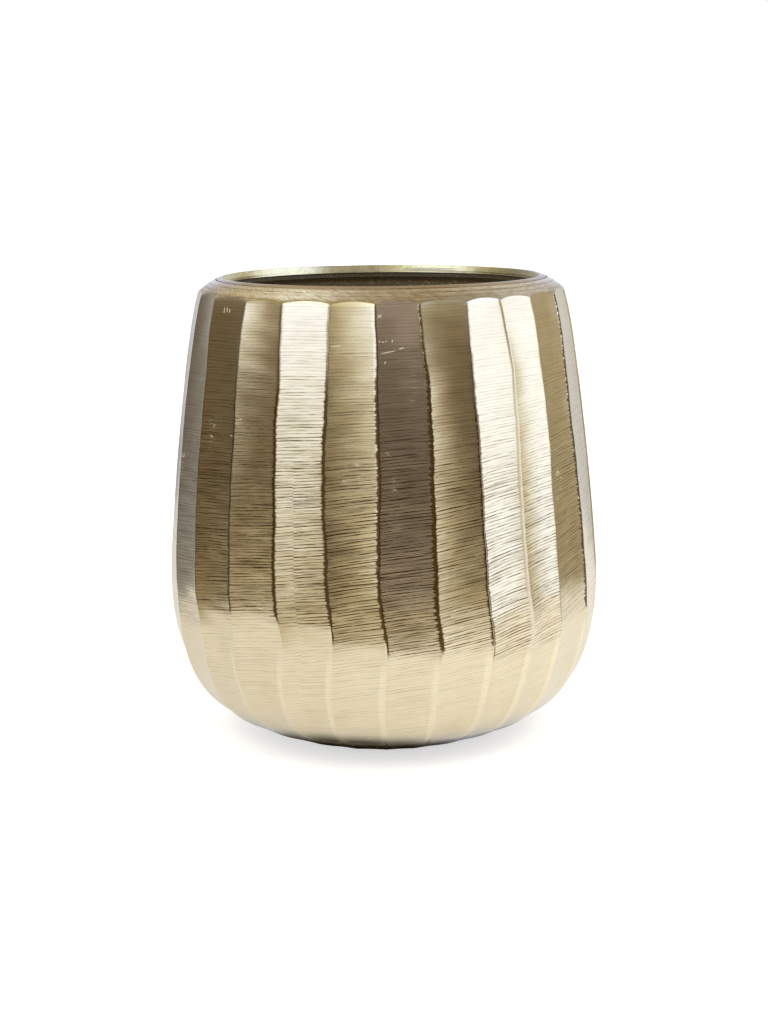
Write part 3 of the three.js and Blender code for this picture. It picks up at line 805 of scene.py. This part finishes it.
def addFloor(v):
    material, add = newMaterial("paleStudioFloor")
    spot = add("TexCoord").outputs["Object"]
    grain = add("TexNoise", spot, v["floorGrain"])
    matt = add("BsdfDiffuse", add("Mix RGBA", grain, v["floor"], v["floorPale"]))
    ray = add("LightPath")
    camera = ray.outputs["Is Camera Ray"]
    mirror = add("Math MAXIMUM", ray.outputs["Is Glossy Ray"], ray.outputs["Is Transmission Ray"])
    # the floor shines a little for the camera and the metal, but not where the foot keeps light off
    fromFoot = add("VectorMath SUBTRACT", spot, (*v["footShade"], 0))
    apart = add("VectorMath LENGTH", fromFoot)
    clearOfFoot = add("MapRange SMOOTHSTEP", apart, 0.042, 0.075)
    mirrored = add("Math MULTIPLY", mirror, clearOfFoot)
    seen = add("Math MAXIMUM", camera, mirrored)
    # it is brighter on the right, under the larger soft box
    placeRight, placeBack, _ = add("SeparateXYZ", spot).outputs
    rightward = add("MapRange", placeRight, -0.3, 0.3, 0.65 * v["floorGlow"], 1.2 * v["floorGlow"])
    backward = add("MapRange", placeBack, -0.06, 0.09, 1, 0.77)
    farther = add("Math MULTIPLY", rightward, backward)
    evened = add("Mix FLOAT", camera, farther, v["floorGlow"] + 0.1)
    glow = add("Math MULTIPLY", seen, evened)
    glowTone = add("Mix RGBA", camera, v["floorGlowColour"], (1, 1, 1, 1))
    lit = add("AddShader", matt, add("Emission", glowTone, glow))
    # for the metal the floor by the foot is swapped for a dark brown: a painted shadow
    underFoot = add("Math SUBTRACT", mirror, mirrored)
    both = add("MixShader", underFoot, lit, add("BsdfDiffuse", v["underFoot"]))
    # the metal sees the floor only as far as a table top with soft edges, and the room beyond it
    middle = (-v["tableMiddle"][0], -v["tableMiddle"][1], 0)
    shares = (1 / v["tableHalf"][0], 1 / v["tableHalf"][1], 0)
    moved = add("VectorMath ADD", spot, middle)
    folded = add("VectorMath ABSOLUTE", add("VectorMath MULTIPLY", moved, shares))
    sideways, deep, _ = add("SeparateXYZ", folded).outputs
    outward = add("Math MAXIMUM", sideways, deep)
    beyondSeen = add("Math MULTIPLY", add("MapRange SMOOTHSTEP", outward, 0.88, 1.12), mirror)
    facing = add("NewGeometry")      # from below, the floor is open too
    opened = add("Math MAXIMUM", beyondSeen, facing.outputs["Backfacing"])
    seenFloor = add("MixShader", opened, both, add("BsdfTransparent"))
    add("OutputMaterial", seenFloor)
    mesh = bpy.data.meshes.new("studioFloor")
    half = v["floorHalf"]
    corners = [(-half, -half, 0), (half, -half, 0), (half, half, 0), (-half, half, 0)]
    mesh.from_pydata(corners, [], [(0, 1, 2, 3)])
    mesh.materials.append(material)
    addObject("studioFloor", mesh)


# The room: a dome that only the metal mirrors. Its level of light depends on how far round and how
# high a direction is: dim, with a broad soft box on each side and a pale backdrop behind
def addRoom(v):
    material, add = newMaterial("dimRoomWithSoftBoxes")
    towards = add("VectorMath NORMALIZE", add("TexCoord").outputs["Object"])
    rightward, backward, upward = add("SeparateXYZ", towards).outputs
    forward = add("Math MULTIPLY", backward, -1)
    turn = add("Math DEGREES", add("Math ARCTAN2", rightward, forward))
    rise = add("Math DEGREES", add("Math ARCSINE", upward))
    away = add("Math ABSOLUTE", turn)

    # right soft box: its front side is sharp high up and a long gradient lower down
    spread = add("MapRange", rise, 2, 12, 68, 58)
    rightFront = add("MapRange SMOOTHSTEP", turn, add("MapRange", rise, 2, 16, 30, 46), spread)
    rightBack = add("MapRange SMOOTHSTEP", turn, add("MapRange", rise, 0, 12, 82, 98), 126, 1, 0)
    rightTall = add("MapRange", rise, -8, 12, 1.02, 1.2)
    right = add("Math MULTIPLY", add("Math MULTIPLY", rightFront, rightBack), rightTall)

    # left soft box: its far side slants outwards higher up
    slanted = add("Math MULTIPLY_ADD", add("Clamp", rise, -9, 12), 1.45, turn)
    leftBack = add("MapRange SMOOTHSTEP", slanted, -68, -47)
    upper = add("MapRange", rise, 3, 13, -10, 8)
    frontEdge = add("Math MAXIMUM", upper, add("MapRange", rise, -8, 3, 22, -10))
    leftStart = add("MapRange", rise, 2, 12, -29, -38)
    leftFront = add("MapRange SMOOTHSTEP", turn, leftStart, frontEdge, 1, 0)
    leftWide = add("Math MULTIPLY", leftBack, leftFront)
    left = add("Math MULTIPLY", leftWide, add("MapRange", rise, -10, 16, 0.42, 1.1))
    boxTop = add("MapRange SMOOTHSTEP", rise, 38, 58, 1, 0)
    level = add("Math MULTIPLY", add("Math MAXIMUM", right, left), boxTop)

    # the room itself: a grey wall on the right, a pale backdrop, a dim ceiling with one lamp, and a
    # little light below
    side = add("MapRange SMOOTHSTEP", turn, 92, 112, 0, v["sideLevel"])
    leftRise = add("MapRange", turn, -152, -127, 2 * v["leftLevel"], 0.62 * v["leftLevel"])
    leftFar = add("Math MULTIPLY", add("MapRange SMOOTHSTEP", turn, -124, -104, 1, 0), leftRise)
    leftWall = add("Math MULTIPLY", leftFar, add("MapRange", rise, -8, 3, 0.65, 1))
    behindRight = add("MapRange SMOOTHSTEP", turn, 124, 142, 0, 0.5)
    behind = add("MapRange SMOOTHSTEP", away, 147, 168, 0, v["backdropLevel"])
    peakTurn = add("MapRange SMOOTHSTEP", away, 158, 168, 0, v["backdropPeak"])
    peak = add("Math MULTIPLY", peakTurn, add("MapRange SMOOTHSTEP", rise, 3, 9))
    above = add("MapRange SMOOTHSTEP", rise, 8, 30, v["roomLevel"], v["ceilingLevel"])
    belowAll = add("MapRange SMOOTHSTEP", rise, -9, 2, 0.39, 0)
    offFront = add("Math ABSOLUTE", add("Math SUBTRACT", turn, 12))
    belowBack = add("MapRange", offFront, 90, 108, 1, 0.5)
    belowBoth = add("Math MULTIPLY", belowBack, add("MapRange", offFront, 10, 35, 0.93, 1.15))
    below = add("Math MULTIPLY", belowAll, belowBoth)
    behindAll = add("Math MAXIMUM", add("Math MAXIMUM", behindRight, behind), peak)
    backdrop = add("Math MULTIPLY", behindAll, add("MapRange SMOOTHSTEP", rise, 8, 36, 1, 0.3))
    spots = []
    for axis, starts, full, amount in v["spots"]:
        facing = add("VectorMath DOT_PRODUCT", towards, tuple(np.array(axis) / np.linalg.norm(axis)))
        spots.append(add("MapRange SMOOTHSTEP", facing, starts, full, 0, amount))
    for other in (side, leftWall, backdrop, above, below, *spots):
        level = add("Math MAXIMUM", level, other)
    tone = add("ValToRGB", level)
    steps = tone.color_ramp.elements
    for position, code in v["lightSteps"][1:-1]:
        steps.new(position)
    for step, (position, code) in zip(steps, v["lightSteps"]):
        step.position, step.color = position, linearColour(code)

    # the dim parts are brown, but greyer right in front and on the far left. The backdrop is cool
    # and the ceiling warm
    frontGrey = add("MapRange SMOOTHSTEP", offFront, 10, 20, 1, 0)
    leftGrey = add("MapRange SMOOTHSTEP", turn, -122, -102, 1, 0)
    dimmer = add("MapRange", level, 0.25, 0.5, 1, 0)
    frontShare = add("Math MULTIPLY", frontGrey, add("MapRange", rise, -12, -3, 0.25, 1))
    frontDim = add("Math MULTIPLY", frontShare, dimmer)
    leftDim = add("Math MULTIPLY", leftGrey, dimmer)
    backGrey = add("MapRange SMOOTHSTEP", away, 124, 140, 0, 0.75)
    backDim = add("MapRange", level, 0.6, 1, 1, 0.3)
    high = add("MapRange SMOOTHSTEP", rise, 24, 40)
    topWarm = add("Math MULTIPLY", high, add("MapRange", rightward, -0.02, -0.22))
    topCool = add("Math MULTIPLY", high, add("MapRange", rightward, 0.27, 0.37))
    backLow = add("Math MULTIPLY", backGrey, add("Math SUBTRACT", 1, high))
    backCool = add("Math MULTIPLY", backLow, backDim)
    brightHigh = add("Math MULTIPLY", add("MapRange", level, 0.85, 1), add("MapRange", rise, 6, 13))
    whiter = add("Math MULTIPLY", brightHigh, add("MapRange SMOOTHSTEP", away, 120, 136, 1, 0))
    colour = tone
    for share, tint in zip((whiter, frontDim, backCool, leftDim, topWarm, topCool), v["tints"]):
        colour = add("Mix RGBA", share, colour, add("VectorMath MULTIPLY", tone, tint))
    add("OutputMaterial", add("Emission", colour, v["roomStrength"]))
    angle = evenAngles(96)
    tilt = np.radians(np.linspace(-60, 86, 37))
    profile = v["roomRadius"] * np.stack([np.cos(tilt), np.sin(tilt)], axis=1)
    poles = [(0, 0, -v["roomRadius"]), (0, 0, v["roomRadius"])]
    room = closedMesh("studioRoom", turnedRings(profile, angle), poles=poles)
    room.data.materials.append(material)
    material.cycles.emission_sampling = "NONE"
    room.visible_camera = room.visible_diffuse = room.visible_shadow = False


def addSoftBox(name, v, distance, radiance):
    lamp = bpy.data.lights.new(name, "AREA")
    lamp.shape = "RECTANGLE"
    lamp.size, lamp.size_y = v["width"], v["tall"]
    lamp.energy = radiance * math.pi * v["width"] * v["tall"]
    box = addObject(name, lamp)
    turn = math.radians(v["azimuth"])
    box.location = distance * math.sin(turn), -distance * math.cos(turn), v["middle"]
    box.rotation_euler = math.radians(90), 0, turn
    box.visible_camera = box.visible_glossy = False   # the metal mirrors the room's own soft boxes


def addWorld(v):
    world = bpy.data.worlds.new("whiteSurround")
    world.use_nodes = True
    world.node_tree.nodes.clear()
    add = partial(addNode, world.node_tree)
    ray = add("LightPath")
    mirror = add("Math MAXIMUM", ray.outputs["Is Glossy Ray"], ray.outputs["Is Transmission Ray"])
    seen = add("Math MAXIMUM", ray.outputs["Is Camera Ray"], mirror)
    light = add("Background", (1, 1, 1, 1), add("MapRange", seen, 0, 1, v["worldLight"], 1))
    add("OutputWorld", light)
    bpy.context.scene.world = world


# The camera at the photograph's viewing angle: 1275 mm from the axis, 11 degrees above the horizon
cameraValues = {
    "distance": 1.275, "down": 11.118, "aimHeight": 0.15478, "roll": -0.536, "lens": 64.24,
    "shift": 0.00073,
}


def addCamera(v):
    camera = addObject("camera", bpy.data.cameras.new("camera"))
    down = math.radians(v["down"])
    back, up = v["distance"] * math.cos(down), v["distance"] * math.sin(down)
    place = Matrix.Translation((0, -back, v["aimHeight"] + up))
    tilt = Matrix.Rotation(math.pi / 2 - down, 4, "X") @ Matrix.Rotation(math.radians(v["roll"]), 4, "Z")
    camera.matrix_world = place @ tilt
    camera.data.lens = v["lens"]
    camera.data.shift_x = v["shift"]
    bpy.context.scene.camera = camera


print("studio and camera")
addFloor(studioValues)
addRoom(studioValues)
for name, values in studioValues["boxes"].items():
    addSoftBox(name, values, studioValues["boxDistance"], studioValues["boxRadiance"])
addWorld(studioValues)
addCamera(cameraValues)
bpy.context.scene.view_settings.view_transform = "Standard"
